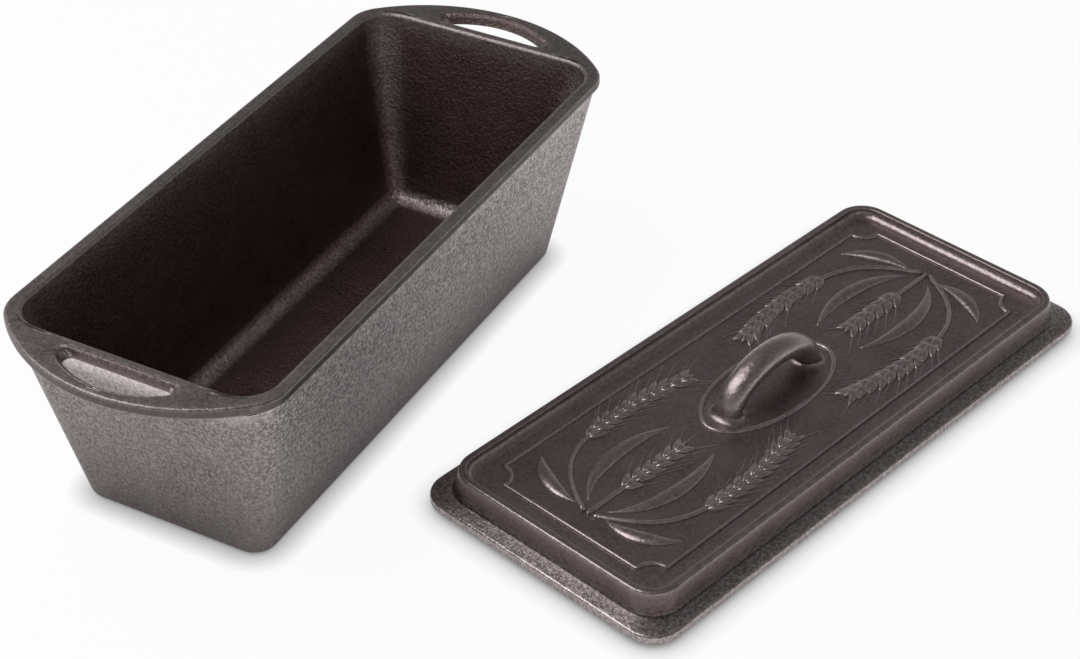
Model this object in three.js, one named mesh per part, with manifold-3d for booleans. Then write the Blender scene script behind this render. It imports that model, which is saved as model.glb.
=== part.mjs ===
// Cast iron bread pan with a loose lid, in millimetres, +Z up.
// The origin is the centre of the pan's flat base. The pan's long axis lies along X.
// Each casting is one solid: the tub with its rim and end handles, and the lid with its arch handle.
import * as THREE from 'three';
import { mergeVertices } from 'three/addons/utils/BufferGeometryUtils.js';
import Module from 'manifold-3d';

const wasm = await Module();
wasm.setup();

// Tub
const mouthLength = 280; // inside the tub, just under the rounded mouth edge
const mouthWidth = 118;
const panHeight = 97;
const tubWall = 5;
const tubFloor = 5;
const draft = THREE.MathUtils.degToRad(11.1); // lean of all four walls
const mouthCornerRadius = 15; // upright inner corners, at the mouth and at the floor
const floorCornerRadius = 7.2;
const rimCornerRadius = 17; // upright outer corners, under the rim and at the base
const baseCornerRadius = 10;
const floorFillet = 8;
const baseEdgeRadius = 4;
const mouthEdgeRadius = 1.2;

// Rim and end handles, one flat plate round the mouth
const rimThickness = 5;
const rimLip = 1; // how far the rim stands past the tub's wall along the sides
const handleReach = 20; // how far each handle stands past the tub's wall, at its middle
const handleArcRadius = 85;
const handleCornerRadius = 18;
const rimTopRadius = 1.4;
const rimBottomRadius = 1.6;
const handleFillet = 2; // under each handle, where the plate meets the wall
const sideFillet = 0.8;

// Finger slot through each handle
const slotBar = 5.4; // iron left between the slot and the handle's outer edge, at the middle
const slotLedge = 0.4; // iron left between the tub's wall and the slot
const slotArcRadius = 43;
const slotCornerRadius = 3;
const slotTopRadius = 2;
const slotBottomRadius = 0.8;
const slotDraft = 2; // how far the slot's outer side leans towards the tub, from top to bottom

// Lid: flange, raised plateau with a flat border round its top, and a sunk field
const flangeEndLap = 9; // from the mouth's edge to the flange's edge
const flangeSideLap = 7.5;
const flangeCornerRadius = 14;
const flangeThickness = 4.5; // at its outer edge
const flangeRise = 1; // how much the flange's top climbs to the foot of the plateau
const flangeEdgeRadius = 1.2;
const plateauInset = 7.3; // from the flange's edge to the foot of the plateau
const plateauHeight = 12; // top of the border above the flange's outer edge
const plateauCornerRadius = 14;
const plateauFootFillet = 1.5;
const plateauLean = 1.2; // how far the plateau's wall draws in from foot to border
const borderWidth = 3.4;
const borderOuterRadius = 1.1;
const borderInnerRadius = 0.5;
const fieldDepth = 4.5; // below the top of the border
const fieldFillet = 3.8;
const lidWall = 5;
const lidHollowFillet = 3;

// Locating ridge under the lid, which drops inside the mouth
const ridgeHeight = 2;
const ridgeClearance = 0.9;
const ridgeEdgeRadius = 0.7;

// Arch handle on the lid
const archSpan = 54.5; // between the centres of its feet
const archHeight = 22.5; // top of the arch above the field
const archWidth = 13; // across the lid
const archThickness = 10; // of the bar, seen from the side
const archFootFlare = 2.2;
const archFlareHeight = 4;
const archRoot = 2; // depth that the feet go into the field

// Where the lid lies beside the pan
const lidAlong = 60.2; // from the pan's middle to the lid's middle
const lidGap = 16.5; // between the rim's side and the square round the turned lid
const lidTurn = THREE.MathUtils.degToRad(-15.5);

// Facets
const cornerSteps = 8;
const arcSteps = 20;
const edgeSteps = 3;
const filletSteps = 6;
const archSteps = 26;
const barSides = 20;
const overrun = 1; // how far a cutter runs past the face that it cuts

const rimHalfLength = mouthLength / 2 + tubWall + handleReach;
const rimHalfWidth = mouthWidth / 2 + tubWall + rimLip;
const lidHalfLength = mouthLength / 2 + flangeEndLap;
const lidHalfWidth = mouthWidth / 2 + flangeSideLap;

const ironDark = new THREE.MeshStandardMaterial({ color: 0x3a3234, roughness: 0.55, metalness: 0.85 });
const ironLid = new THREE.MeshStandardMaterial({ color: 0x453d3e, roughness: 0.45, metalness: 0.85 });

// Points on an arc about a centre, from one angle to another
function arc(centreX, centreY, radius, from, to, steps) {
  const curve = new THREE.ArcCurve(centreX, centreY, radius, from, to, to < from);
  return curve.getPoints(steps);
}

// Rounded rectangle, anticlockwise from +X +Y, as a ring at one height
function roundedRing(halfLength, halfWidth, radius, z) {
  const x = halfLength - radius;
  const y = halfWidth - radius;
  const quarter = Math.PI / 2;
  const corners = [[x, y], [-x, y], [-x, -y], [x, -y]];
  const points = corners.flatMap(([cx, cy], turn) =>
    arc(cx, cy, radius, turn * quarter, (turn + 1) * quarter, cornerSteps));
  return points.map((point) => new THREE.Vector3(point.x, point.y, z));
}

// Closed body through rings with the same number of points, capped flat at both ends.
// Rings run anticlockwise seen from the end that the loft grows towards.
function loft(rings) {
  const count = rings[0].length;
  const positions = rings.flat().flatMap((point) => point.toArray());
  const faces = [];
  for (let ring = 0; ring + 1 < rings.length; ring += 1) {
    for (let side = 0; side < count; side += 1) {
      const a = ring * count + side;
      const b = ring * count + ((side + 1) % count);
      faces.push(a, b, b + count, a, b + count, a + count);
    }
  }
  const last = (rings.length - 1) * count;
  for (let side = 1; side + 1 < count; side += 1) {
    faces.push(0, side + 1, side);
    faces.push(last, last + side, last + side + 1);
  }
  const geometry = new THREE.BufferGeometry();
  geometry.setAttribute('position', new THREE.Float32BufferAttribute(positions, 3));
  geometry.setIndex(faces);
  return mergeVertices(geometry);
}

function toSolid(geometry) {
  return new wasm.Manifold(new wasm.Mesh({
    numProp: 3,
    vertProperties: new Float32Array(geometry.attributes.position.array),
    triVerts: new Uint32Array(geometry.index.array),
  }));
}

function toMesh(name, solid, material) {
  const { vertProperties, triVerts } = solid.getMesh();
  const geometry = new THREE.BufferGeometry();
  geometry.setAttribute('position', new THREE.BufferAttribute(vertProperties, 3));
  geometry.setIndex(new THREE.BufferAttribute(triVerts, 1));
  geometry.computeVertexNormals();
  const mesh = new THREE.Mesh(geometry, material);
  mesh.name = name;
  return mesh;
}

// Quarter round from one tangent to the other: how far it has moved across and up, both 0 to 1
function quarterRound(steps) {
  return Array.from({ length: steps + 1 }, (_, step) => {
    const angle = (step / steps) * (Math.PI / 2);
    return { across: 1 - Math.cos(angle), up: Math.sin(angle) };
  });
}

// How far the drafted wall stands inside its line at the mouth
const inset = (z) => (panHeight - z) * Math.tan(draft);

// Inside and outside of the tub: how far each stands outside the mouth's line, and its upright
// corners, whose radius grows from the low end to the mouth
const inner = { thickness: 0, low: tubFloor, lowCorner: floorCornerRadius, mouthCorner: mouthCornerRadius };
const outer = { thickness: tubWall, low: 0, lowCorner: baseCornerRadius, mouthCorner: rimCornerRadius };

function uprightCorner(side, z) {
  const share = (z - side.low) / (panHeight - side.low);
  return THREE.MathUtils.lerp(side.lowCorner, side.mouthCorner, share);
}

// Drafted wall line of one side, pulled in by some distance more
function wallRing(side, pull, z) {
  const halfLength = mouthLength / 2 + side.thickness - inset(z) - pull;
  const halfWidth = mouthWidth / 2 + side.thickness - inset(z) - pull;
  return roundedRing(halfLength, halfWidth, uprightCorner(side, z) - pull, z);
}

// Rings that round a flat bottom into the drafted wall
function bottomRings(side, radius, steps) {
  const centre = side.low + radius;
  const sweep = Math.PI / 2 - draft;
  return Array.from({ length: steps + 1 }, (_, step) => {
    const angle = (step / steps) * sweep;
    const z = centre - radius * Math.cos(angle);
    const fromWall = radius / Math.cos(draft) - radius * Math.sin(angle) - (centre - z) * Math.tan(draft);
    return wallRing(side, fromWall, z);
  });
}

// Outline of the rim plate, drawn in by an offset: two end arcs with rounded corners
function rimRing(offset, z) {
  const centreX = rimHalfLength - handleArcRadius;
  const cornerY = rimHalfWidth - handleCornerRadius;
  const reach = handleArcRadius - handleCornerRadius;
  const cornerX = centreX + Math.sqrt(reach ** 2 - cornerY ** 2);
  const turn = Math.atan2(cornerY, cornerX - centreX);
  const corner = handleCornerRadius - offset;
  const end = [
    ...arc(cornerX, -cornerY, corner, -Math.PI / 2, -turn, cornerSteps).slice(0, -1),
    ...arc(centreX, 0, handleArcRadius - offset, -turn, turn, arcSteps),
    ...arc(cornerX, cornerY, corner, turn, Math.PI / 2, cornerSteps).slice(1),
  ];
  const outline = [...end, ...end.map((point) => new THREE.Vector2(-point.x, -point.y))];
  return outline.map((point) => new THREE.Vector3(point.x, point.y, z));
}

// Outline of the finger slot, let out by an offset: straight towards the tub, arched outside
function slotRing(offset, z) {
  const innerX = mouthLength / 2 + tubWall + slotLedge;
  const lean = slotDraft * THREE.MathUtils.clamp((panHeight - z) / rimThickness, 0, 1);
  const centreX = rimHalfLength - slotBar - lean - slotArcRadius;
  const cornerX = innerX + slotCornerRadius;
  const reach = slotArcRadius - slotCornerRadius;
  const cornerY = Math.sqrt(reach ** 2 - (cornerX - centreX) ** 2);
  const turn = Math.atan2(cornerY, cornerX - centreX);
  const corner = slotCornerRadius + offset;
  const outline = [
    ...arc(cornerX, -cornerY, corner, -Math.PI, -turn, cornerSteps).slice(0, -1),
    ...arc(centreX, 0, slotArcRadius + offset, -turn, turn, arcSteps),
    ...arc(cornerX, cornerY, corner, turn, Math.PI, cornerSteps).slice(1),
  ];
  return outline.map((point) => new THREE.Vector3(point.x, point.y, z));
}

function tubBody() {
  const underside = panHeight - rimThickness;
  const flare = quarterRound(edgeSteps).map(({ across, up }) => {
    const z = underside - handleFillet * (1 - up);
    const radius = uprightCorner(outer, z) + sideFillet * across;
    const halfLength = mouthLength / 2 + tubWall - inset(z) + handleFillet * across;
    const halfWidth = mouthWidth / 2 + tubWall - inset(z) + sideFillet * across;
    return roundedRing(halfLength, halfWidth, radius, z);
  });
  const top = wallRing(outer, 0, panHeight - rimThickness / 2);
  return loft([...bottomRings(outer, baseEdgeRadius, edgeSteps), ...flare, top]);
}

function tubCavity() {
  const lip = quarterRound(edgeSteps).map(({ across, up }) =>
    wallRing(inner, -mouthEdgeRadius * across, panHeight - mouthEdgeRadius * (1 - up)));
  const above = lip.at(-1).map((point) => point.clone().setZ(panHeight + overrun));
  return loft([...bottomRings(inner, floorFillet, filletSteps), ...lip, above]);
}

function rimPlate() {
  const bottom = quarterRound(edgeSteps).map(({ across, up }) =>
    rimRing(rimBottomRadius * (1 - up), panHeight - rimThickness + rimBottomRadius * across));
  const top = quarterRound(edgeSteps).map(({ across, up }) =>
    rimRing(rimTopRadius * across, panHeight - rimTopRadius * (1 - up)));
  return loft([...bottom, ...top]);
}

function slotCutter() {
  const underside = panHeight - rimThickness;
  const bottom = quarterRound(edgeSteps).map(({ across, up }) =>
    slotRing(slotBottomRadius * (1 - up), underside + slotBottomRadius * across));
  const top = quarterRound(edgeSteps).map(({ across, up }) =>
    slotRing(slotTopRadius * across, panHeight - slotTopRadius * (1 - up)));
  const below = slotRing(slotBottomRadius, underside - overrun);
  const above = slotRing(slotTopRadius, panHeight + overrun);
  return loft([below, ...bottom, ...top, above]);
}

function makePan() {
  const slot = toSolid(slotCutter());
  const otherSlot = slot.rotate([0, 0, 180]);
  const casting = toSolid(tubBody()).add(toSolid(rimPlate()));
  return casting.subtract(toSolid(tubCavity())).subtract(slot).subtract(otherSlot);
}

// Ring of the lid, by how far it stands inside the flange's edge
function lidRing(pull, radius, z) {
  return roundedRing(lidHalfLength - pull, lidHalfWidth - pull, radius, z);
}

// Heights on the lid, from the underside of its ridge
const flangeTop = ridgeHeight + flangeThickness;
const plateauFoot = flangeTop + flangeRise;
const borderTop = flangeTop + plateauHeight;
const field = borderTop - fieldDepth;

// Ridge that fits inside the mouth, as rings from its lower edge to the flange
function ridgeRings() {
  const halfLength = mouthLength / 2 - ridgeClearance;
  const halfWidth = mouthWidth / 2 - ridgeClearance;
  const radius = mouthCornerRadius - ridgeClearance;
  const draw = ridgeHeight * Math.tan(draft);
  const rings = quarterRound(edgeSteps).map(({ across, up }) => {
    const pull = draw + ridgeEdgeRadius * (1 - up);
    return roundedRing(halfLength - pull, halfWidth - pull, radius - pull, ridgeEdgeRadius * across);
  });
  return [...rings, roundedRing(halfLength, halfWidth, radius, ridgeHeight)];
}

function flangeRings() {
  const edge = flangeEdgeRadius;
  const bottom = quarterRound(edgeSteps).map(({ across, up }) =>
    lidRing(edge * (1 - up), flangeCornerRadius - edge * (1 - up), ridgeHeight + edge * across));
  const top = quarterRound(edgeSteps).map(({ across, up }) =>
    lidRing(edge * across, flangeCornerRadius - edge * across, flangeTop - edge * (1 - up)));
  return [...bottom, ...top];
}

// From the flange up the plateau's wall, over the flat border and down to the field
function plateauRings() {
  const foot = plateauFootFillet;
  const fillet = quarterRound(edgeSteps).reverse().map(({ across, up }) =>
    lidRing(plateauInset - foot * across, plateauCornerRadius + foot * across,
      plateauFoot + foot * (1 - up)));
  const borderRing = (inwards, z) =>
    lidRing(plateauInset + plateauLean + inwards, plateauCornerRadius - inwards, z);
  const outerEdge = quarterRound(edgeSteps).map(({ across, up }) =>
    borderRing(borderOuterRadius * across, borderTop - borderOuterRadius * (1 - up)));
  const innerEdge = quarterRound(edgeSteps).reverse().map(({ across, up }) =>
    borderRing(borderWidth - borderInnerRadius * across, borderTop - borderInnerRadius * (1 - up)));
  const fieldEdge = quarterRound(filletSteps).map(({ across, up }) =>
    borderRing(borderWidth + fieldFillet * across, field + fieldFillet * (1 - up)));
  return [...fillet, ...outerEdge, ...innerEdge, ...fieldEdge];
}

// Hollow under the plateau, one wall inside it and rounded at the top
function lidHollow() {
  const ceiling = field - lidWall;
  const pull = plateauInset + lidWall;
  const radius = plateauCornerRadius - lidWall;
  const rounding = quarterRound(edgeSteps).map(({ across, up }) => {
    const z = ceiling - lidHollowFillet * (1 - up);
    return lidRing(pull + lidHollowFillet * across, radius - lidHollowFillet * across, z);
  });
  return loft([lidRing(pull, radius, -overrun), ...rounding]);
}

// Arch of oval bar, standing on the field along the lid's long axis, with flared feet
function archHandle() {
  const rise = archHeight - archThickness / 2;
  const upright = new THREE.Vector3(0, 0, 1);
  const rings = Array.from({ length: archSteps + 1 }, (_, step) => {
    const angle = Math.PI * (step / archSteps);
    const centre = new THREE.Vector3((archSpan / 2) * Math.cos(angle), 0, rise * Math.sin(angle));
    const along = new THREE.Vector3(-(archSpan / 2) * Math.sin(angle), 0, rise * Math.cos(angle));
    const outward = new THREE.Vector3(0, 1, 0).cross(along.normalize());
    const low = Math.max(0, 1 - centre.z / archFlareHeight);
    const flare = archFootFlare * low ** 2;
    return Array.from({ length: barSides }, (_, side) => {
      const turn = (side / barSides) * 2 * Math.PI;
      const point = centre.clone().addScaledVector(upright, field);
      point.y += (archWidth / 2 + flare) * Math.sin(turn);
      return point.addScaledVector(outward, (archThickness / 2 + flare) * Math.cos(turn));
    });
  });
  const root = (ring) => ring.map((point) => point.clone().setZ(field - archRoot));
  return loft([root(rings[0]), ...rings, root(rings.at(-1))]);
}

function makeLid() {
  const shell = toSolid(loft([...ridgeRings(), ...flangeRings(), ...plateauRings()]));
  return shell.subtract(toSolid(lidHollow())).add(toSolid(archHandle()));
}

const pan = toMesh('pan', makePan(), ironDark);
const lid = toMesh('lid', makeLid(), ironLid);
const turnedHalfWidth = lidHalfLength * Math.abs(Math.sin(lidTurn)) + lidHalfWidth * Math.cos(lidTurn);
lid.position.set(lidAlong, -(rimHalfWidth + lidGap + turnedHalfWidth), 0);
lid.rotation.z = lidTurn;

const breadPan = new THREE.Group();
breadPan.add(pan, lid);

export default breadPan;
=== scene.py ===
import math
import bpy
import bmesh
from mathutils import Matrix, Vector, geometry


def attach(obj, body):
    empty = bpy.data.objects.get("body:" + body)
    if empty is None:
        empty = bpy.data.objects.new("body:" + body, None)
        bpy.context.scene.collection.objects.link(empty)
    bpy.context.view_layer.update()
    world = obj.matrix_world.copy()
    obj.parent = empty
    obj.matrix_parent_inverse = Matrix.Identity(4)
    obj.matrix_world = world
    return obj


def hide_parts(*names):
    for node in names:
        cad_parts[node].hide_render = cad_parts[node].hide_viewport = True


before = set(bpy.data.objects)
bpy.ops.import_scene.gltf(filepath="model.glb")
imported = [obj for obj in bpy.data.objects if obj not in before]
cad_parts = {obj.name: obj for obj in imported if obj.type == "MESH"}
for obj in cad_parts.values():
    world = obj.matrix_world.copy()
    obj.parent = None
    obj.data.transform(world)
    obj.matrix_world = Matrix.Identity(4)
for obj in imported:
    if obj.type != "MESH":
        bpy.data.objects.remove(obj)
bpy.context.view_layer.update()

mm = 0.001  # the sizes of the pieces are in millimetres, and their finished meshes in metres
print("frame loaded")


# rings and skins

def arcPoints(centre, radius, start, end, steps):
    angles = [start + (end - start) * step / steps for step in range(steps + 1)]
    return [(centre[0] + radius * math.cos(a), centre[1] + radius * math.sin(a)) for a in angles]


def between(a, b, cuts):
    # points strictly inside a straight run
    return [tuple(a[i] + (b[i] - a[i]) * step / cuts for i in range(2)) for step in range(1, cuts)]


ringCuts = {"corner": 12, "long": 40, "short": 32}  # cuts in each corner and side of a ring


def roundedRing(halfLength, halfWidth, radius, z):
    # rounded rectangle, anticlockwise from the +X end of its +X +Y corner
    x, y = halfLength - radius, halfWidth - radius
    quarter = math.pi / 2
    corners = [arcPoints(centre, radius, turn * quarter, (turn + 1) * quarter, ringCuts["corner"])
               for turn, centre in enumerate([(x, y), (-x, y), (-x, -y), (x, -y)])]
    points = []
    for turn, corner in enumerate(corners):
        cuts = ringCuts["long"] if turn % 2 == 0 else ringCuts["short"]
        points += corner + between(corner[-1], corners[(turn + 1) % 4][0], cuts)
    return [Vector((px, py, z)) for px, py in points]


def quarterTurn(steps):
    angles = [math.pi / 2 * step / steps for step in range(steps + 1)]
    return [(1 - math.cos(a), math.sin(a)) for a in angles]  # moved across, moved up


def lerpRings(a, b, cuts):
    # rings strictly between two others
    return [[p.lerp(q, step / cuts) for p, q in zip(a, b)] for step in range(1, cuts)]


def addSkin(shape, rings):
    # quads between closed rings that have the same number of points, given in millimetres
    layers = [[shape.verts.new(point * mm) for point in ring] for ring in rings]
    for low, high in zip(layers, layers[1:]):
        count = len(low)
        for side in range(count):
            after = (side + 1) % count
            shape.faces.new((low[side], low[after], high[after], high[side]))
    return layers


capShares = (0.97, 0.5)  # size of each ring inside a flat end, as a share of the one before


def capFan(shape, layer, flip=False):
    # closes a ring with smaller rings of itself and a fan, so that the flat middle keeps a flat shade
    middle = sum((v.co for v in layer), Vector()) / len(layer)
    count = len(layer)
    for share in capShares:
        inner = [shape.verts.new(middle.lerp(v.co, share)) for v in layer]
        for side in range(count):
            after = (side + 1) % count
            face = (layer[side], layer[after], inner[after], inner[side])
            shape.faces.new(face[::-1] if flip else face)
        layer = inner
        middle = sum((v.co for v in layer), Vector()) / count
    centre = shape.verts.new(middle)
    for side in range(count):
        face = (layer[side], layer[(side + 1) % count], centre)
        shape.faces.new(face[::-1] if flip else face)


def newObject(name, data):
    made = bpy.data.objects.new(name, data)
    bpy.context.scene.collection.objects.link(made)
    return made


def newPiece(name, shape):
    mesh = bpy.data.meshes.new(name)
    shape.to_mesh(mesh)
    shape.free()
    return newObject(name, mesh)


def evaluated(piece):
    # plain mesh of a piece with its modifiers applied, which are taken off the piece
    bpy.context.view_layer.update()
    graph = bpy.context.evaluated_depsgraph_get()
    mesh = bpy.data.meshes.new_from_object(piece.evaluated_get(graph))
    piece.modifiers.clear()
    return mesh


# how the mean curvature, per millimetre, becomes a mark
edgeMarks = {
    "wornGain": 4, "hollowGain": 14, "hollowLimit": 0.3, "hollowFade": 10,
    "grimeStart": 0.18, "grimeGain": 6, "smoothing": 2, "leastArea": 1e-12}


def clamp(value):
    return min(1, max(0, value))


def addMarks(mesh, marks):
    for label, values in marks.items():
        layer = mesh.attributes.new(label, "FLOAT", "POINT")
        layer.data.foreach_set("value", values)


def markEdges(mesh, wear):
    # how sharply each point bulges out (worn), lies in a wide hollow (hollow), which carries a painted
    # highlight, or in a tight one, which carries painted shade
    shape = bmesh.new()
    shape.from_mesh(mesh)
    bend = []
    for vert in shape.verts:
        area = sum(face.calc_area() / len(face.verts) for face in vert.link_faces)
        turn = sum(edge.calc_face_angle_signed(0) * edge.calc_length() for edge in vert.link_edges)
        bend.append(turn / (4 * max(area, edgeMarks["leastArea"])) * mm)
    neighbours = [[edge.other_vert(vert).index for edge in vert.link_edges] for vert in shape.verts]
    for _ in range(edgeMarks["smoothing"]):
        bend = [(2 * value + sum(bend[i] for i in near)) / (2 + len(near))
                for value, near in zip(bend, neighbours)]
    shape.free()
    addMarks(mesh, {
        "worn": [wear * clamp(value * edgeMarks["wornGain"]) for value in bend],
        "hollow": [clamp(-value * edgeMarks["hollowGain"])
                   * clamp((edgeMarks["hollowLimit"] + value) * edgeMarks["hollowFade"]) for value in bend],
        "grime": [clamp((-value - edgeMarks["grimeStart"]) * edgeMarks["grimeGain"]) for value in bend]})


normalWeight = 60  # how far large faces rule the shading


def finishCasting(piece, material, wear=1.0):
    piece.data.materials.clear()
    piece.data.materials.append(material)
    piece.data.shade_smooth()
    shading = piece.modifiers.new("shading", "WEIGHTED_NORMAL")
    shading.weight = normalWeight
    piece.data = evaluated(piece)
    markEdges(piece.data, wear)


# cast iron

def node(tree, kind, inputs=None, **settings):
    made = tree.nodes.new(kind)
    for key, value in settings.items():
        setattr(made, key, value)
    for key, value in (inputs or {}).items():
        if isinstance(value, bpy.types.NodeSocket):
            tree.links.new(value, made.inputs[key])
        else:
            made.inputs[key].default_value = value
    return made


def emptyTree(owner):
    owner.use_nodes = True
    owner.node_tree.nodes.clear()
    return owner.node_tree


def ramp(tree, factor, stops):
    made = node(tree, "ShaderNodeValToRGB", {0: factor})
    bar = made.color_ramp.elements
    while len(bar) < len(stops):
        bar.new(0.5)
    for element, (place, colour) in zip(bar, stops):
        element.position = place
        element.color = (*colour, 1) if isinstance(colour, tuple) else (colour, colour, colour, 1)
    return made.outputs["Color"]


def mix(tree, factor, a, b, blend="MIX"):
    # sockets 6 and 7 and output 2 are the ones for colours
    made = node(tree, "ShaderNodeMix", data_type="RGBA", blend_type=blend)
    for socket, value in ((0, factor), (6, a), (7, b)):
        if isinstance(value, bpy.types.NodeSocket):
            tree.links.new(value, made.inputs[socket])
        elif isinstance(value, tuple):
            made.inputs[socket].default_value = (*value, 1)
        else:
            made.inputs[socket].default_value = value
    return made.outputs[2]


def maths(tree, operation, a, b=0.0, c=0.0):
    return node(tree, "ShaderNodeMath", {0: a, 1: b, 2: c}, operation=operation).outputs[0]


def times(tree, a, b):
    return maths(tree, "MULTIPLY", a, b)


def scaled(tree, value, factor, shift):
    return maths(tree, "MULTIPLY_ADD", value, factor, shift)


def castIron(name, look):
    material = bpy.data.materials.new(name)
    tree = emptyTree(material)
    place = node(tree, "ShaderNodeTexCoord").outputs["Object"]
    worn, hollow, grime, bare, coatAndShade = (
        node(tree, "ShaderNodeAttribute", attribute_name=label).outputs["Fac"]
        for label in ("worn", "hollow", "grime", "bare", "coatAndShade"))

    def grain(size, detail, roughness):
        noise = node(tree, "ShaderNodeTexNoise", {
            "Vector": place, "Scale": 1 / (size * mm), "Detail": detail, "Roughness": roughness})
        return noise.outputs["Fac"]

    cloud, sand, speck, chip = (grain(*look[label]) for label in ("cloud", "sand", "speck", "chip"))
    pits = node(tree, "ShaderNodeTexVoronoi", {
        "Vector": place, "Scale": 1 / (look["pitSize"] * mm)}, feature="F1").outputs["Distance"]

    cloudLow, cloudHigh = look["cloudRange"]
    tone = ramp(tree, cloud, [(cloudLow, look["dark"]), (cloudHigh, look["light"])])
    tone = mix(tree, ramp(tree, sand, look["sandMask"]), tone, look["sandTone"])
    skin = scaled(tree, maths(tree, "MAXIMUM", bare, coatAndShade), 1 - look["rimSkin"], look["rimSkin"])
    specks = times(tree, ramp(tree, speck, look["speckMask"]), skin)
    tone = mix(tree, times(tree, specks, look["speckShare"]), tone, look["speckTone"])
    # darker coat with painted shade, inside the tub, in the slots and on the lid's plateau wall
    tone = mix(tree, coatAndShade, tone, mix(tree, 1.0, tone, look["coatTint"], "MULTIPLY"))
    # painted highlight along the wide fillets
    hollowMask = times(tree, hollow, ramp(tree, sand, look["hollowMask"]))
    tone = mix(tree, times(tree, hollowMask, look["hollowShare"]), tone, look["hollowTone"])
    # pale bare skin, on the pan's walls also a painted reflection of the floor, paler upwards and on the
    # long walls
    bareMask = times(tree, bare, ramp(tree, chip, look["bareMask"]))
    tone = mix(tree, times(tree, bareMask, look["bareShare"]), tone, look["bareTone"])
    wearMask = times(tree, worn, ramp(tree, sand, look["wearMask"]))
    tone = mix(tree, times(tree, wearMask, look["wearShare"]), tone, look["wearTone"])
    # painted shade in tight creases and on the rim's outer face
    tone = mix(tree, times(tree, grime, look["grimeShare"]), tone, look["grimeTone"])

    rough = scaled(tree, cloud, look["roughSwing"], look["rough"] - look["roughSwing"] / 2)
    rough = scaled(tree, sand, look["sandRough"], rough)
    rough = scaled(tree, wearMask, -look["wearSmooth"], rough)
    rough = scaled(tree, hollow, -look["hollowSmooth"], rough)

    height = times(tree, sand, look["sandHeight"])
    height = scaled(tree, speck, look["speckHeight"], height)
    height = scaled(tree, ramp(tree, pits, look["pitMask"]), look["pitHeight"], height)
    height = times(tree, height, skin)
    height = scaled(tree, cloud, look["waveHeight"], height)
    bump = node(tree, "ShaderNodeBump", {"Height": height, "Distance": mm, "Strength": 1.0})

    shader = node(tree, "ShaderNodeBsdfPrincipled", {
        "Base Color": tone, "Roughness": rough, "Normal": bump.outputs["Normal"],
        "Metallic": look["metallic"]})
    end = node(tree, "ShaderNodeOutputMaterial")
    tree.links.new(shader.outputs[0], end.inputs[0])
    return material


ironBase = {
    "dark": (0.122, 0.092, 0.092), "light": (0.186, 0.154, 0.153),
    # grains: size in millimetres, detail, roughness
    "cloud": (16, 4, 0.55), "sand": (1.6, 3, 0.6), "speck": (0.7, 2, 0.55), "chip": (1.4, 4, 0.7),
    "pitSize": 1.3, "cloudRange": (0.32, 0.68),
    "sandMask": [(0.38, 0.0), (0.66, 1.0)], "speckMask": [(0.5, 0.0), (0.72, 1.0)],
    "hollowMask": [(0.35, 0.4), (0.65, 1.0)], "bareMask": [(0.44, 0.0), (0.60, 1.0)],
    "wearMask": [(0.3, 0.45), (0.6, 1.0)], "pitMask": [(0.0, 0.0), (0.35, 1.0)],
    "sandTone": (0.23, 0.195, 0.192),
    "speckTone": (0.40, 0.36, 0.355), "speckShare": 0.3,
    # darker coat with painted shade, inside the tub, in the slots and on the lid's plateau wall
    "coatTint": (0.66, 0.49, 0.47),
    # painted highlight along the wide fillets
    "hollowTone": (1.0, 0.87, 0.86), "hollowShare": 1.0,
    # pale bare skin, on the pan's walls also a painted reflection of the floor
    "bareTone": (0.80, 0.75, 0.74), "bareShare": 0.92, "rimSkin": 0.35,
    "wearTone": (0.34, 0.30, 0.295), "wearShare": 0.6,
    # painted shade in tight creases and on the rim's outer face
    "grimeTone": (0.030, 0.022, 0.021), "grimeShare": 0.85,
    "rough": 0.40, "roughSwing": 0.10, "sandRough": 0.10, "wearSmooth": 0.06, "hollowSmooth": 0.2,
    "sandHeight": 0.75, "speckHeight": 0.30, "pitHeight": 0.10, "waveHeight": 0.8,
    "metallic": 0.85}

panIron = castIron("panIron", ironBase)
lidIron = castIron("lidIron", ironBase | {
    "dark": (0.170, 0.120, 0.125), "light": (0.240, 0.186, 0.190), "sandTone": (0.26, 0.208, 0.21),
    # the coat tint paints shade on the plateau's wall, and the fillets get a faint painted highlight
    "coatTint": (0.55, 0.50, 0.51), "hollowShare": 0.15, "hollowSmooth": 0.02, "bareShare": 0.45,
    "rimSkin": 1.0, "wearTone": (0.68, 0.59, 0.595), "wearShare": 1.0,
    "sandHeight": 0.14, "speckHeight": 0.05, "pitHeight": 0.02, "waveHeight": 0.5, "speckShare": 0.2,
    "rough": 0.28})
print("cast iron ready")


# pan

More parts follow.
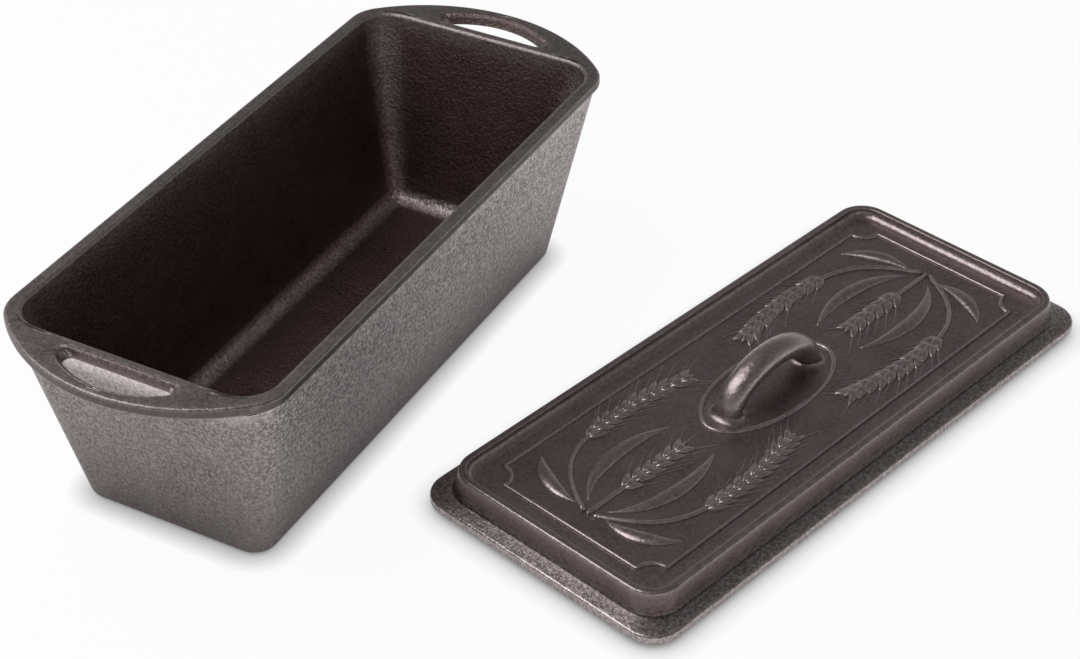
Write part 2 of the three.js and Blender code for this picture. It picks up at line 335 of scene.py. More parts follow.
pan = {
    "mouthLength": 280, "mouthWidth": 118, "height": 97, "wall": 5, "floor": 5, "draft": math.radians(11.1),
    "mouthCorner": 15, "floorCorner": 7.2, "rimCorner": 17, "baseCorner": 10,
    "floorFillet": 8, "baseEdge": 4, "mouthEdge": 1.6,
    "rimThickness": 5, "rimHalfWidth": 65, "handleReach": 165, "handleArc": 85, "handleCorner": 18,
    "rimTopEdge": 1.4, "rimBottomEdge": 1.6, "underFillet": 2, "sideFillet": 0.45,
    "slotBar": 5.4, "slotLedge": 0.4, "slotArc": 43, "slotCorner": 3,
    "slotTopEdge": 2, "slotBottomEdge": 0.8, "slotDraft": 2, "slotOverrun": 1,
    "edgeSteps": 8, "filletSteps": 14, "wallSteps": 12, "underSteps": 3, "rimSteps": 12,
    "slotCornerSteps": 12, "slotSteps": 36,
    # where the marks of the surface begin and how they fade
    "coatFade": 10, "sideSlack": 1, "floorSlack": 0.5, "slotFlat": 0.97, "slotSpread": 1.7,
    # painted reflection of the floor on the outer walls, paler upwards and on the long walls
    "bareRise": 90, "bareCurve": 0.7, "bareLeast": 0.42, "barePower": 6,
    # painted shade on the rim's outer face, and a narrower painted highlight in the tub's fillets
    "rimGrime": 0.65, "rimMargin": 1, "rimSteep": 0.6, "hollowNarrow": 0.8}


def inset(z):
    return (pan["height"] - z) * math.tan(pan["draft"])


inside = {"grow": 0, "low": pan["floor"], "lowCorner": pan["floorCorner"], "highCorner": pan["mouthCorner"]}
outside = {"grow": pan["wall"], "low": 0, "lowCorner": pan["baseCorner"], "highCorner": pan["rimCorner"]}


def uprightCorner(side, z):
    # radius of an upright corner, which grows from the floor to the mouth
    share = (z - side["low"]) / (pan["height"] - side["low"])
    return side["lowCorner"] + (side["highCorner"] - side["lowCorner"]) * share


def wallRing(side, pull, z):
    grow = side["grow"] - pull
    return roundedRing(pan["mouthLength"] / 2 + grow - inset(z), pan["mouthWidth"] / 2 + grow - inset(z),
                       uprightCorner(side, z) - pull, z)


def bottomRings(side, radius, steps):
    # rounds the turn from the flat floor or base up into the drafted wall
    centre, rings = side["low"] + radius, []
    for step in range(steps + 1):
        angle = (math.pi / 2 - pan["draft"]) * step / steps
        z = centre - radius * math.cos(angle)
        fromWall = radius / math.cos(pan["draft"]) - radius * math.sin(angle)
        fromWall -= (centre - z) * math.tan(pan["draft"])
        rings.append(wallRing(side, fromWall, z))
    return rings


def rimRing(offset, z):
    # two arched ends with rounded corners, in step with roundedRing point for point
    arc, soft = pan["handleArc"], pan["handleCorner"]
    centreX = pan["handleReach"] - arc
    cornerY = pan["rimHalfWidth"] - soft
    cornerX = centreX + math.sqrt((arc - soft) ** 2 - cornerY ** 2)
    lean = math.atan2(cornerY, cornerX - centreX)
    corner = arcPoints((cornerX, cornerY), soft - offset, lean, math.pi / 2, ringCuts["corner"])
    otherCorner = [(-x, y) for x, y in corner[::-1]]
    end = arcPoints((-centreX, 0), arc - offset, math.pi - lean, math.pi + lean, ringCuts["short"])
    half = corner + between(corner[-1], otherCorner[0], ringCuts["long"]) + otherCorner + end[1:-1]
    return [Vector((x, y, z)) for x, y in half + [(-x, -y) for x, y in half]]


def slotRing(side, offset, z):
    # outline of the finger slot at one end, straight inside and arched outside
    innerX = pan["mouthLength"] / 2 + pan["wall"] + pan["slotLedge"]
    lean = pan["slotDraft"] * clamp((pan["height"] - z) / pan["rimThickness"])
    centreX = pan["handleReach"] - pan["slotBar"] - lean - pan["slotArc"]
    cornerX = innerX + pan["slotCorner"]
    cornerY = math.sqrt((pan["slotArc"] - pan["slotCorner"]) ** 2 - (cornerX - centreX) ** 2)
    turn = math.atan2(cornerY, cornerX - centreX)
    corner = pan["slotCorner"] + offset
    outline = arcPoints((cornerX, -cornerY), corner, -math.pi, -turn, pan["slotCornerSteps"])[:-1]
    outline += arcPoints((centreX, 0), pan["slotArc"] + offset, -turn, turn, pan["slotSteps"])
    outline += arcPoints((cornerX, cornerY), corner, turn, math.pi, pan["slotCornerSteps"])[1:]
    return [Vector((side * x, side * y, z)) for x, y in outline]


def makePan():
    top, under = pan["height"], pan["height"] - pan["rimThickness"]
    turn = quarterTurn(pan["edgeSteps"])
    rings = bottomRings(outside, pan["baseEdge"], pan["edgeSteps"])
    flareFoot = wallRing(outside, 0, under - pan["underFillet"])
    rings += lerpRings(rings[-1], flareFoot, pan["wallSteps"])
    for across, up in turn:
        z = under - pan["underFillet"] * (1 - up)
        rings.append(roundedRing(
            pan["mouthLength"] / 2 + pan["wall"] - inset(z) + pan["underFillet"] * across,
            pan["mouthWidth"] / 2 + pan["wall"] - inset(z) + pan["sideFillet"] * across,
            uprightCorner(outside, z) + pan["sideFillet"] * across, z))
    rimLow = rimRing(pan["rimBottomEdge"], under)
    rings += lerpRings(rings[-1], rimLow, pan["underSteps"])
    for across, up in turn:
        rings.append(rimRing(pan["rimBottomEdge"] * (1 - up), under + pan["rimBottomEdge"] * across))
    for across, up in turn:
        rings.append(rimRing(pan["rimTopEdge"] * across, top - pan["rimTopEdge"] * (1 - up)))
    lip = [wallRing(inside, -pan["mouthEdge"] * across, top - pan["mouthEdge"] * (1 - up))
           for across, up in turn]
    rings += lerpRings(rings[-1], lip[-1], pan["rimSteps"])
    cavity = bottomRings(inside, pan["floorFillet"], pan["filletSteps"])
    cavity += lerpRings(cavity[-1], lip[0], pan["wallSteps"]) + lip
    rings += cavity[::-1]

    shape = bmesh.new()
    layers = addSkin(shape, rings)
    capFan(shape, layers[0], flip=True)
    capFan(shape, layers[-1])
    return newPiece("panCasting", shape)


def cutSlots(piece):
    # round-edged and drafted slots through both ends of the rim
    top, under = pan["height"], pan["height"] - pan["rimThickness"]
    low, high = pan["slotBottomEdge"], pan["slotTopEdge"]
    turn = quarterTurn(pan["edgeSteps"])
    cutter = bmesh.new()
    for side in (1, -1):
        slots = [slotRing(side, low, under - pan["slotOverrun"])]
        slots += [slotRing(side, low * (1 - up), under + low * across) for across, up in turn]
        slots += [slotRing(side, high * across, top - high * (1 - up)) for across, up in turn]
        slots += [slotRing(side, high, top + pan["slotOverrun"])]
        loops = addSkin(cutter, slots)
        cutter.faces.new(loops[0][::-1])
        cutter.faces.new(loops[-1])
    slotCutter = newPiece("slotCutter", cutter)
    cut = piece.modifiers.new("slots", "BOOLEAN")
    cut.operation = "DIFFERENCE"
    cut.solver = "EXACT"
    cut.object = slotCutter
    piece.data = evaluated(piece)
    bpy.data.objects.remove(slotCutter)


def markPan(mesh):
    # the baked-on coat inside the tub with painted shade, painted shade in the slots and on the rim's outer
    # face, a narrower painted highlight in the fillets, and the bare sandy walls outside with a painted
    # reflection of the floor, paler upwards and on the long walls
    coat, bare = [], []
    grime, hollow = (mesh.attributes[label].data for label in ("grime", "hollow"))
    top, under = pan["height"], pan["height"] - pan["rimThickness"]
    slotInner = pan["mouthLength"] / 2 + pan["wall"] + pan["slotLedge"] - pan["slotTopEdge"]
    for vert in mesh.vertices:
        x, y, z = (value / mm for value in vert.co)
        facing = vert.normal
        side = min(pan["mouthLength"] / 2 - inset(z) - abs(x), pan["mouthWidth"] / 2 - inset(z) - abs(y))
        within = side > -pan["sideSlack"] and z > pan["floor"] - pan["floorSlack"] and facing.z > 0
        bulge = math.sqrt(max(0, pan["handleArc"] ** 2 - y ** 2))
        slotOuter = pan["handleReach"] - pan["handleArc"] + bulge - 2 * pan["rimTopEdge"]
        inSlot = slotInner < abs(x) < slotOuter and abs(y) < pan["slotArc"] / pan["slotSpread"]
        inSlot = inSlot and z > under and facing.z < pan["slotFlat"]
        coat.append(1 if inSlot else min(1, (top - z) / pan["coatFade"]) if within else 0)
        onWall = not within and side > -pan["wall"] - pan["sideSlack"] and z < under
        onRim = abs(z - top + pan["rimThickness"] / 2) < pan["rimThickness"] / 2 - pan["rimMargin"]
        # painted shade on the rim's outer upright face
        if onRim and not within and not inSlot and abs(facing.z) < pan["rimSteep"]:
            grime[vert.index].value = pan["rimGrime"]
        if within:
            # narrows the painted highlight to the middle of a fillet, where the normal leans both ways
            # alike
            _, second, first = sorted(abs(part) for part in facing)
            hollow[vert.index].value *= (second / first) ** pan["hollowNarrow"]
        # painted reflection of the floor, paler upwards and on the long walls than on the ends
        share = pan["bareLeast"] + (1 - pan["bareLeast"]) * facing.y ** pan["barePower"]
        bare.append(min(1, z / pan["bareRise"]) ** pan["bareCurve"] * share if onWall else 0)
    addMarks(mesh, {"coatAndShade": coat, "bare": bare})


panCasting = makePan()
cutSlots(panCasting)
finishCasting(panCasting, panIron)
markPan(panCasting.data)
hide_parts("pan")
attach(panCasting, "pan")
print("pan cast:", len(panCasting.data.polygons), "faces")


# lid

lid = {
    "halfLength": 149, "halfWidth": 66.5, "corner": 14, "thickness": 4.5, "rise": 1, "edge": 1.2,
    "plateauInset": 7.3, "plateauHeight": 12, "plateauCorner": 14, "footFillet": 1.5, "lean": 1.2,
    "borderWidth": 3.4, "borderOuter": 1.1, "borderInner": 0.5, "fieldDepth": 4.5, "fieldFillet": 3.8,
    "wall": 5, "hollowFillet": 3, "hollowCuts": (4, 1.5),
    "ridgeHeight": 2, "ridgeClearance": 0.9, "ridgeEdge": 0.7, "ridgeInnerEdge": 0.6,
    "edgeSteps": 6, "filletSteps": 10, "flangeSteps": 3, "wallSteps": 4, "borderSteps": 3,
    "archSpan": 54.5, "archHeight": 22.5, "archWidth": 13, "archThickness": 10, "archFillet": 3,
    "archSquash": 0.92, "archSteps": 56, "archSides": 40, "footSteps": 8,
    "gridStep": 5, "gridFootGap": 2, "gridEdgeGap": 3,
    "edgeWear": 0.32, "bareAbove": 1, "wallSteep": 0.6,
    "along": 60.2, "aside": 185.4, "turn": math.radians(-15.5)}
lidPlace = (Matrix.Translation((lid["along"] * mm, -lid["aside"] * mm, 0))
            @ Matrix.Rotation(lid["turn"], 4, "Z"))
flangeTop = lid["ridgeHeight"] + lid["thickness"]
plateauFoot = flangeTop + lid["rise"]
borderTop = flangeTop + lid["plateauHeight"]
fieldTop = borderTop - lid["fieldDepth"]


def lidRing(pull, radius, z):
    return roundedRing(lid["halfLength"] - pull, lid["halfWidth"] - pull, radius, z)


def underRings():
    # from the hollow's ceiling down its wall and round the locating ridge to the flange
    turn = quarterTurn(lid["edgeSteps"])
    ceiling, pull = fieldTop - lid["wall"], lid["plateauInset"] + lid["wall"]
    radius = lid["plateauCorner"] - lid["wall"]
    rings = []
    for across, up in turn[::-1]:
        rings.append(lidRing(pull + lid["hollowFillet"] * across, radius - lid["hollowFillet"] * across,
                             ceiling - lid["hollowFillet"] * (1 - up)))
    rings += [lidRing(pull, radius, z) for z in lid["hollowCuts"]]
    soft = lid["ridgeInnerEdge"]
    rings += [lidRing(pull - soft * across, radius + soft * across, soft * (1 - up)) for across, up in turn]
    length = pan["mouthLength"] / 2 - lid["ridgeClearance"]
    width = pan["mouthWidth"] / 2 - lid["ridgeClearance"]
    corner = pan["mouthCorner"] - lid["ridgeClearance"]
    draw = lid["ridgeHeight"] * math.tan(pan["draft"])
    for across, up in turn:
        inner = draw + lid["ridgeEdge"] * (1 - up)
        rings.append(roundedRing(length - inner, width - inner, corner - inner, lid["ridgeEdge"] * across))
    rings.append(roundedRing(length, width, corner, lid["ridgeHeight"]))
    return rings


def upperRings():
    # round the flange, up the plateau's wall, over the border and down to the field
    turn = quarterTurn(lid["edgeSteps"])
    edge, corner = lid["edge"], lid["corner"]
    rings = [lidRing(edge * (1 - up), corner - edge * (1 - up), lid["ridgeHeight"] + edge * across)
             for across, up in turn]
    rings += [lidRing(edge * across, corner - edge * across, flangeTop - edge * (1 - up))
              for across, up in turn]
    foot = lid["footFillet"]
    fillet = [lidRing(lid["plateauInset"] - foot * across, lid["plateauCorner"] + foot * across,
                      plateauFoot + foot * (1 - up)) for across, up in turn[::-1]]
    rings += lerpRings(rings[-1], fillet[0], lid["flangeSteps"]) + fillet

    def borderRing(inwards, z):
        return lidRing(lid["plateauInset"] + lid["lean"] + inwards, lid["plateauCorner"] - inwards, z)

    outer, inner, soft = lid["borderOuter"], lid["borderInner"], lid["fieldFillet"]
    border = [borderRing(outer * across, borderTop - outer * (1 - up)) for across, up in turn]
    innerEdge = [borderRing(lid["borderWidth"] - inner * across, borderTop - inner * (1 - up))
                 for across, up in turn[::-1]]
    border += lerpRings(border[-1], innerEdge[0], lid["borderSteps"]) + innerEdge
    border += [borderRing(lid["borderWidth"] + soft * across, fieldTop + soft * (1 - up))
               for across, up in quarterTurn(lid["filletSteps"])]
    return rings + lerpRings(rings[-1], border[0], lid["wallSteps"]) + border


def archRings():
    # bar of the handle, foot to foot, each foot running out into the field
    half, rise = lid["archSpan"] / 2, lid["archHeight"] - lid["archThickness"] / 2
    fillet = lid["archFillet"]
    rings = []
    for step in range(lid["archSteps"] + 1):
        angle = math.pi * step / lid["archSteps"]
        centre = Vector((half * math.cos(angle), 0, rise * math.sin(angle)))
        if centre.z < fillet:
            continue
        along = Vector((-half * math.sin(angle), 0, rise * math.cos(angle))).normalized()
        rings.append(archRing(centre, Vector((0, 1, 0)).cross(along), 0))
    feet = []
    for step in range(lid["footSteps"]):
        angle = math.pi / 2 * step / lid["footSteps"]
        height, flare = fillet * (1 - math.cos(angle)), fillet * (1 - math.sin(angle))
        foot = math.asin(min(1, height / rise))
        feet.append((Vector((half * math.cos(foot), 0, height)), flare))
    start = [archRing(centre, Vector((1, 0, 0)), flare) for centre, flare in feet]
    finish = [archRing(Vector((-centre.x, 0, centre.z)), Vector((-1, 0, 0)), flare)
              for centre, flare in feet]
    return start + rings + finish[::-1]


def archRing(centre, outward, flare):
    # one section of the bar, a slightly squared oval
    ring = []
    for side in range(lid["archSides"]):
        turn = 2 * math.pi * side / lid["archSides"]
        out, across = (math.copysign(abs(part) ** lid["archSquash"], part)
                       for part in (math.cos(turn), math.sin(turn)))
        ring.append(centre + Vector((0, (lid["archWidth"] / 2 + flare) * across, fieldTop))
                    + outward * (lid["archThickness"] / 2 + flare) * out)
    return ring


def fillField(shape, loops):
    # flat field between the border's fillet and the two feet
    verts = [vert for loop in loops for vert in loop]
    flat, edges, holes = [], [], []
    for loop in loops:
        first = len(flat)
        flat += [Vector(vert.co.xy) for vert in loop]
        edges += [(first + i, first + (i + 1) % len(loop)) for i in range(len(loop))]
    for loop in loops[1:]:
        middle = sum((vert.co for vert in loop), Vector()) / len(loop)
        reach = max((vert.co.xy - middle.xy).length for vert in loop)
        holes.append((middle.xy, reach, [vert.co.xy for vert in loop]))
    spacing, footGap, edgeGap = (lid[label] * mm for label in ("gridStep", "gridFootGap", "gridEdgeGap"))
    reachX, reachY = max(v.co.x for v in loops[0]), max(v.co.y for v in loops[0])
    for i in range(int(-reachX / spacing) + 1, int(reachX / spacing)):
        for j in range(int(-reachY / spacing) + 1, int(reachY / spacing)):
            point = Vector((i * spacing, j * spacing))
            clearFeet = all((point - middle).length > reach + footGap for middle, reach, _ in holes)
            if clearFeet and abs(point.x) < reachX - edgeGap and abs(point.y) < reachY - edgeGap:
                flat.append(point)
                verts.append(shape.verts.new((point.x, point.y, fieldTop * mm)))
    keepInside, mergeBelow = 1, 1e-7
    points, _, faces, origins, _, _ = geometry.delaunay_2d_cdt(flat, edges, [], keepInside, mergeBelow)
    for face in faces:
        middle = sum((points[i] for i in face), Vector((0, 0))) / 3
        inFoot = any((middle - centre).length < reach and insideLoop(middle, loop)
                     for centre, reach, loop in holes)
        if not inFoot:
            made = shape.faces.new([verts[origins[i][0]] for i in face])
            made.normal_update()
            if made.normal.z < 0:
                made.normal_flip()


def insideLoop(point, loop):
    odd = False  # an odd number of crossings means inside
    for a, b in zip(loop, loop[1:] + loop[:1]):
        if (a.y > point.y) != (b.y > point.y):
            crossing = a.x + (b.x - a.x) * (point.y - a.y) / (b.y - a.y)
            odd = odd != (point.x < crossing)
    return odd


def makeLid():
    shape = bmesh.new()
    layers = addSkin(shape, underRings() + upperRings())
    capFan(shape, layers[0], flip=True)
    arch = addSkin(shape, archRings())
    fillField(shape, [layers[-1], arch[0], arch[-1]])
    return newPiece("lidCasting", shape)


def markLid(mesh):
    # the thin coat on the flange, the thick coat and painted shade on the plateau's outward wall, and the
    # handle's stronger wear
    bare, coat = [], []
    worn = mesh.attributes["worn"].data
    for vert in mesh.vertices:
        x, y, z = (value / mm for value in vert.co)
        bare.append(1 if z < plateauFoot + lid["bareAbove"] else 0)
        beyondArch = max(abs(x), abs(y)) > lid["archSpan"]
        outward = vert.normal.x * x + vert.normal.y * y > 0 and abs(vert.normal.z) < lid["wallSteep"]
        coat.append(1 if beyondArch and outward and z > plateauFoot else 0)
        if beyondArch:
            worn[vert.index].value *= lid["edgeWear"]
    addMarks(mesh, {"coatAndShade": coat, "bare": bare})


lidCasting = makeLid()
finishCasting(lidCasting, lidIron)
markLid(lidCasting.data)
lidCasting.data.transform(lidPlace)
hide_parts("lid")
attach(lidCasting, "lid")
print("lid cast:", len(lidCasting.data.polygons), "faces")


# wheat on the lid

relief = {
    "stemHalf": 1.2, "stemHeight": 1.0, "leafHalf": 3.8, "leafHeight": 0.48,
    "lineHalf": 1.1, "lineHeight": 0.9, "strandSides": 12, "tipShare": 0.04,
    "grainLength": 9.5, "grainWidth": 5.2, "grainHeight": 2.3, "grainStep": 5.4, "grainLean": 29,
    "grainSides": 8, "grainRings": 6, "grainTaper": 0.45, "grainJitter": 0.08,
    "midSize": 0.8, "midHeight": 1.3, "creaseDepth": 0.35, "creaseWidth": 4.0,
    "beardLength": 13, "beardHalf": 0.42, "beardRoot": 0.85, "beardTip": 0.25, "beardSides": 5,
    "lineX": 127, "lineY": 45, "lineScoop": 9, "scoopSteps": 10,
    "ovalX": 39.5, "ovalY": 19, "ovalSteps": 72,
    # paths of one end, measured from the place where the stems are tied
    "tieX": 116,
    "midStem": [(0, 0), (-22, 0)], "midEar": [(-22, 0), (-54, 0)],
    "sideStem": [(0, 2), (-8, 18), (-16, 30), (-36, 33)],
    "sideEar": [(-36, 33), (-60, 36), (-80, 33), (-92, 30)],
    "innerLeaf": [(-6, 5), (-20, 20), (-48, 20), (-66, 12)],
    "outerLeaf": [(-2, 8), (0, 22), (-6, 32), (-14, 39)],
    "wear": 0.45, "seed": 7}


def bent(points, steps=24):
    # smooth path through a start, two pulls and an end
    a, b, c, d = (Vector(point) for point in points)
    path = []
    for step in range(steps + 1):
        t = step / steps
        path.append(a * (1 - t) ** 3 + b * 3 * t * (1 - t) ** 2 + c * 3 * t * t * (1 - t) + d * t ** 3)
    return path


def pathPiece(name, paths, cyclic=False):
    curves = bpy.data.curves.new(name, "CURVE")
    curves.dimensions = "3D"
    for path in paths:
        spline = curves.splines.new("POLY")
        spline.points.add(len(path) - 1)
        for point, place in zip(spline.points, path):
            point.co = (place[0] * mm, place[1] * mm, 0, 1)
        spline.use_cyclic_u = cyclic
    return newObject(name, curves)


def newTree(name, sizes):
    tree = bpy.data.node_groups.new(name, "GeometryNodeTree")
    tree.interface.new_socket("Geometry", in_out="INPUT", socket_type="NodeSocketGeometry")
    kinds = {int: "NodeSocketInt", float: "NodeSocketFloat", bpy.types.Material: "NodeSocketMaterial"}
    for label, value in sizes.items():
        tree.interface.new_socket(label, in_out="INPUT", socket_type=kinds[type(value)])
    tree.interface.new_socket("Geometry", in_out="OUTPUT", socket_type="NodeSocketGeometry")
    return tree, tree.nodes.new("NodeGroupInput").outputs, tree.nodes.new("NodeGroupOutput")


def grow(piece, tree, sizes):
    # runs a tree on a piece's paths and leaves one plain mesh
    growth = piece.modifiers.new("growth", "NODES")
    growth.node_group = tree
    for item in tree.interface.items_tree:
        if item.item_type == "SOCKET" and item.in_out == "INPUT" and item.name in sizes:
            growth[item.identifier] = sizes[item.name]
    grown = newObject(piece.name.replace("Paths", ""), evaluated(piece))
    bpy.data.objects.remove(piece)
    return grown


def endTree(tree, end, shaped, material):
    real = node(tree, "GeometryNodeRealizeInstances", {"Geometry": shaped})
    cast = node(tree, "GeometryNodeSetMaterial", {"Geometry": real.outputs[0], "Material": material})
    tree.links.new(cast.outputs[0], end.inputs[0])


def strandTree(sizes):
    # a low rounded strip along each path, even or swelling in the middle like a leaf
    tree, given, end = newTree("reliefStrand", sizes)
    along = node(tree, "GeometryNodeSplineParameter").outputs["Factor"]
    swell = maths(tree, "SINE", times(tree, along, math.pi))
    swell = scaled(tree, maths(tree, "ADD", swell, -1.0), given["Swell"], 1.0)
    half = times(tree, maths(tree, "MAXIMUM", swell, relief["tipShare"]), given["Half Width"])
    section = node(tree, "GeometryNodeCurvePrimitiveCircle", {
        "Resolution": relief["strandSides"], "Radius": 1.0}).outputs[0]
    strip = node(tree, "GeometryNodeCurveToMesh", {
        "Curve": given["Geometry"], "Profile Curve": section, "Scale": half, "Fill Caps": True})
    flat = node(tree, "ShaderNodeCombineXYZ", {0: 1.0, 1: 1.0, 2: given["Height Share"]}).outputs[0]
    low = node(tree, "GeometryNodeTransform", {"Geometry": strip.outputs[0], "Scale": flat}).outputs[0]
    endTree(tree, end, low, given["Material"])
    return tree


def earTree(sizes):
    # bearded grains in three rows along each path
    tree, given, end = newTree("wheatEar", sizes)
    ball = node(tree, "GeometryNodeMeshUVSphere", {
        "Segments": relief["grainSides"], "Rings": relief["grainRings"], "Radius": 1.0}).outputs[0]
    position = node(tree, "GeometryNodeInputPosition").outputs[0]
    spot = node(tree, "ShaderNodeSeparateXYZ", {0: position}).outputs
    along = scaled(tree, spot[2], 0.5, 0.5)
    slim = scaled(tree, along, -relief["grainTaper"], 1.0)
    across = times(tree, times(tree, spot[0], slim), times(tree, given["Width"], 0.5))
    crease = times(tree, maths(tree, "ABSOLUTE", spot[0]), given["Crease Width"])
    crease = maths(tree, "MAXIMUM", maths(tree, "SUBTRACT", 1.0, crease), 0.0)
    crease = scaled(tree, crease, times(tree, given["Crease Depth"], -1.0), 1.0)
    up = times(tree, times(tree, spot[1], slim), times(tree, given["Height"], crease))
    place = node(tree, "ShaderNodeCombineXYZ", {
        0: times(tree, along, given["Length"]), 1: across, 2: up}).outputs[0]
    grain = node(tree, "GeometryNodeSetPosition", {"Geometry": ball, "Position": place}).outputs[0]
    beard = node(tree, "GeometryNodeMeshCone", {
        "Vertices": relief["beardSides"], "Depth": given["Beard Length"],
        "Radius Bottom": given["Beard Half"],
        "Radius Top": times(tree, given["Beard Half"], relief["beardTip"])}).outputs[0]
    root = times(tree, given["Length"], relief["beardRoot"])
    tip = node(tree, "ShaderNodeCombineXYZ", {0: root, 1: 0.0, 2: 0.0}).outputs[0]
    beard = node(tree, "GeometryNodeTransform", {
        "Geometry": beard, "Translation": tip, "Rotation": (0, math.pi / 2, 0)}).outputs[0]
    whole = node(tree, "GeometryNodeJoinGeometry")
    for part in (grain, beard):
        tree.links.new(part, whole.inputs[0])

    stops = node(tree, "GeometryNodeResampleCurve", {
        "Curve": given["Geometry"], "Length": given["Step"]}, mode="LENGTH").outputs[0]
    tangent = node(tree, "GeometryNodeInputTangent").outputs[0]
    way = node(tree, "ShaderNodeSeparateXYZ", {0: tangent}).outputs
    heading = maths(tree, "ARCTAN2", way[1], way[0])
    rows = node(tree, "GeometryNodeJoinGeometry")
    for row, lean in enumerate((1, 0, -1)):
        seed = maths(tree, "ADD", given["Seed"], row)
        # sockets 2 and 3 and output 1 are the ones for single values, and 8 is the seed
        jitter = node(tree, "FunctionNodeRandomValue", {
            2: -relief["grainJitter"], 3: relief["grainJitter"], 8: seed}, data_type="FLOAT").outputs[1]
        turn = maths(tree, "ADD", scaled(tree, given["Lean"], lean, heading), jitter)
        size = maths(tree, "ADD", jitter, 1.0 if lean else relief["midSize"])
        full = node(tree, "ShaderNodeCombineXYZ", {
            0: size, 1: size, 2: 1.0 if lean else relief["midHeight"]}).outputs[0]
        rotation = node(tree, "ShaderNodeCombineXYZ", {2: turn}).outputs[0]
        planted = node(tree, "GeometryNodeInstanceOnPoints", {
            "Points": stops, "Instance": whole.outputs[0], "Rotation": rotation, "Scale": full})
        tree.links.new(planted.outputs[0], rows.inputs[0])
    endTree(tree, end, rows.outputs[0], given["Material"])
    return tree


def mirrored(path):
    return [[Vector((sx * point[0], sy * point[1])) for point in path] for sx in (1, -1) for sy in (1, -1)]


def onBothEnds(path):
    return [[Vector((sx * point[0], point[1])) for point in path] for sx in (1, -1)]


def fromTie(label):
    return [Vector((relief["tieX"] + x, y)) for x, y in relief[label]]


def makeRelief():
    sideStem, sideEar, innerLeaf, outerLeaf = (
        bent(fromTie(label)) for label in ("sideStem", "sideEar", "innerLeaf", "outerLeaf"))
    midStem, midEar = fromTie("midStem"), fromTie("midEar")
    x, y, scoop = relief["lineX"], relief["lineY"], relief["lineScoop"]
    line = []
    for turn, (sx, sy) in enumerate(((1, 1), (-1, 1), (-1, -1), (1, -1))):
        start = -math.pi / 2 + turn * math.pi / 2
        line += arcPoints((sx * x, sy * y), scoop, start, start - math.pi / 2, relief["scoopSteps"])
    angles = [math.tau * step / relief["ovalSteps"] for step in range(relief["ovalSteps"])]
    oval = [(relief["ovalX"] * math.cos(a), relief["ovalY"] * math.sin(a)) for a in angles]

    strand = {"Half Width": 0.0, "Height Share": 0.0, "Swell": 0.0, "Material": lidIron}
    ear = {"Step": relief["grainStep"] * mm, "Lean": math.radians(relief["grainLean"]),
           "Length": relief["grainLength"] * mm, "Width": relief["grainWidth"] * mm,
           "Height": relief["grainHeight"] * mm, "Crease Depth": relief["creaseDepth"],
           "Crease Width": relief["creaseWidth"], "Beard Length": relief["beardLength"] * mm,
           "Beard Half": relief["beardHalf"] * mm, "Seed": relief["seed"], "Material": lidIron}
    strip, ears = strandTree(strand), earTree(ear)
    stems = mirrored(sideStem + sideEar[1:]) + onBothEnds(midStem + midEar[1:])
    return [
        grow(pathPiece("lidWheatStemsPaths", stems), strip, strand | {
            "Half Width": relief["stemHalf"] * mm, "Height Share": relief["stemHeight"]}),
        grow(pathPiece("lidWheatLeavesPaths", mirrored(innerLeaf) + mirrored(outerLeaf)), strip, strand | {
            "Half Width": relief["leafHalf"] * mm, "Height Share": relief["leafHeight"], "Swell": 1.0}),
        grow(pathPiece("lidFrameLinesPaths", [line, oval], cyclic=True), strip, strand | {
            "Half Width": relief["lineHalf"] * mm, "Height Share": relief["lineHeight"]}),
        grow(pathPiece("lidWheatEarsPaths", mirrored(sideEar) + onBothEnds(midEar)), ears, ear)]


for piece in makeRelief():
    finishCasting(piece, lidIron, relief["wear"])
    piece.data.transform(lidPlace @ Matrix.Translation((0, 0, fieldTop * mm)))
    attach(piece, "lid")
    print(piece.name, len(piece.data.polygons), "faces")


# camera

shot = {"azimuth": -62.15, "elevation": 36.84, "distance": 1078.21, "target": (65.92, -69.92, 0),
        "roll": 0.36, "focalPixels": 2346.95, "imageWidth": 1080, "sensor": 36, "clipEnd": 20}


def makeCamera():
    azimuth, elevation, roll = (math.radians(shot[key]) for key in ("azimuth", "elevation", "roll"))
    back = Vector((math.sin(azimuth) * math.cos(elevation), -math.cos(azimuth) * math.cos(elevation),
                   math.sin(elevation)))
    right = Vector((0, 0, 1)).cross(back).normalized()
    up = back.cross(right)
    rolledRight = right * math.cos(roll) + up * math.sin(roll)
    rolledUp = up * math.cos(roll) - right * math.sin(roll)
    camera = newObject("camera", bpy.data.cameras.new("camera"))
    camera.data.sensor_width = shot["sensor"]
    camera.data.lens = shot["sensor"] * shot["focalPixels"] / shot["imageWidth"]
    camera.data.clip_end = shot["clipEnd"]
    turn = Matrix((rolledRight, rolledUp, back)).transposed().to_4x4()
    place = (Vector(shot["target"]) + back * shot["distance"]) * mm
    camera.matrix_world = Matrix.Translation(place) @ turn
    bpy.context.scene.camera = camera


makeCamera()


# studio, in metres apart from the drop and the two reaches

studio = {
    "floorColour": (0.95, 0.95, 0.95), "floorSize": 8, "floorDrop": 0.2, "floorSeen": 0.95,
    # ambient occlusion paints a contact shadow on the floor and a shadow on the floor seen in reflections
    "contactReach": 11, "contactTone": 0.1, "mirrorReach": 52, "mirrorFall": 1.25, "contactRays": 16,
    "sky": [(0.0, 0.85), (0.25, 0.36), (0.6, 0.19), (1.0, 0.10)],
    "lamp": {
        "name": "softbox", "place": (-0.30, 0.52, 1.09), "aim": (0.05, -0.08, 0), "size": (0.9, 0.9),
        "watts": 8.5}}


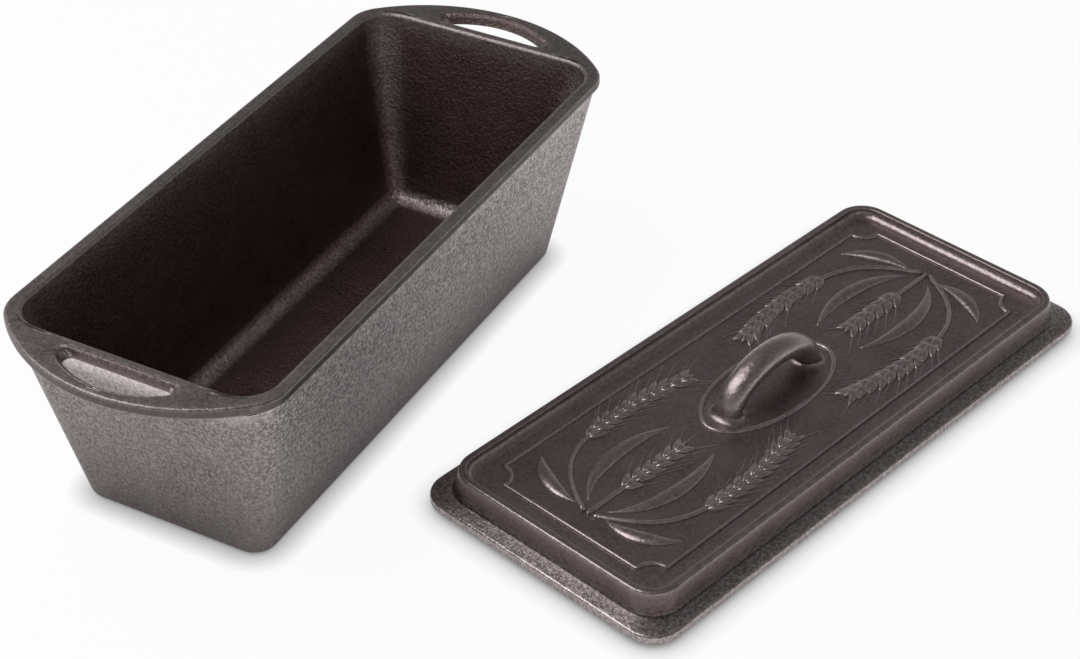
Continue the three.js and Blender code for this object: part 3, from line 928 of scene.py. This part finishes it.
def makeFloor():
    half = studio["floorSize"] / 2
    shape = bmesh.new()
    corners = [shape.verts.new((x, y, -studio["floorDrop"] * mm)) for x, y in
               ((-half, -half), (half, -half), (half, half), (-half, half))]
    shape.faces.new(corners)
    floor = newPiece("floor", shape)
    material = bpy.data.materials.new("floorPaper")
    tree = emptyTree(material)
    paper = node(tree, "ShaderNodeBsdfDiffuse", {"Color": (*studio["floorColour"], 1)})
    path = node(tree, "ShaderNodeLightPath")

    def openness(reach):
        return node(tree, "ShaderNodeAmbientOcclusion", {"Distance": reach * mm},
                    samples=studio["contactRays"]).outputs["AO"]

    seen = path.outputs["Is Camera Ray"]
    glossy = maths(tree, "MAXIMUM", path.outputs["Is Glossy Ray"], path.outputs["Is Transmission Ray"])
    share = scaled(tree, seen, studio["floorSeen"], glossy)
    # painted contact shadow on the floor seen by the camera, and painted shadow on the floor seen in
    # reflections
    tone = studio["contactTone"]
    paintedContactShadow = scaled(tree, openness(studio["contactReach"]), 1 - tone, tone)
    mirroredPaintedShadow = maths(tree, "POWER", openness(studio["mirrorReach"]), studio["mirrorFall"])
    white = scaled(tree, seen, paintedContactShadow, times(tree, glossy, mirroredPaintedShadow))
    glow = node(tree, "ShaderNodeEmission", {"Color": (1, 1, 1, 1), "Strength": white})
    both = node(tree, "ShaderNodeMixShader", {0: share})
    tree.links.new(paper.outputs[0], both.inputs[1])
    tree.links.new(glow.outputs[0], both.inputs[2])
    end = node(tree, "ShaderNodeOutputMaterial")
    tree.links.new(both.outputs[0], end.inputs[0])
    floor.data.materials.append(material)


def makeWorld():
    world = bpy.data.worlds.new("studio")
    bpy.context.scene.world = world
    tree = emptyTree(world)
    way = node(tree, "ShaderNodeSeparateXYZ", {0: node(tree, "ShaderNodeTexCoord").outputs["Generated"]})
    shade = ramp(tree, way.outputs["Z"], studio["sky"])
    sky = node(tree, "ShaderNodeBackground", {"Color": shade, "Strength": 1})
    end = node(tree, "ShaderNodeOutputWorld")
    tree.links.new(sky.outputs[0], end.inputs[0])


def makeLamp():
    lamp = studio["lamp"]
    light = bpy.data.lights.new(lamp["name"], "AREA")
    light.shape = "RECTANGLE"
    light.size, light.size_y = lamp["size"]
    light.energy = lamp["watts"]
    made = newObject(lamp["name"], light)
    made.location = lamp["place"]
    towards = Vector(lamp["place"]) - Vector(lamp["aim"])
    made.rotation_euler = towards.to_track_quat("Z", "Y").to_euler()


makeFloor()
makeWorld()
makeLamp()
bpy.context.scene.view_settings.view_transform = "Standard"
print("camera and studio ready")

bpy.context.view_layer.update()
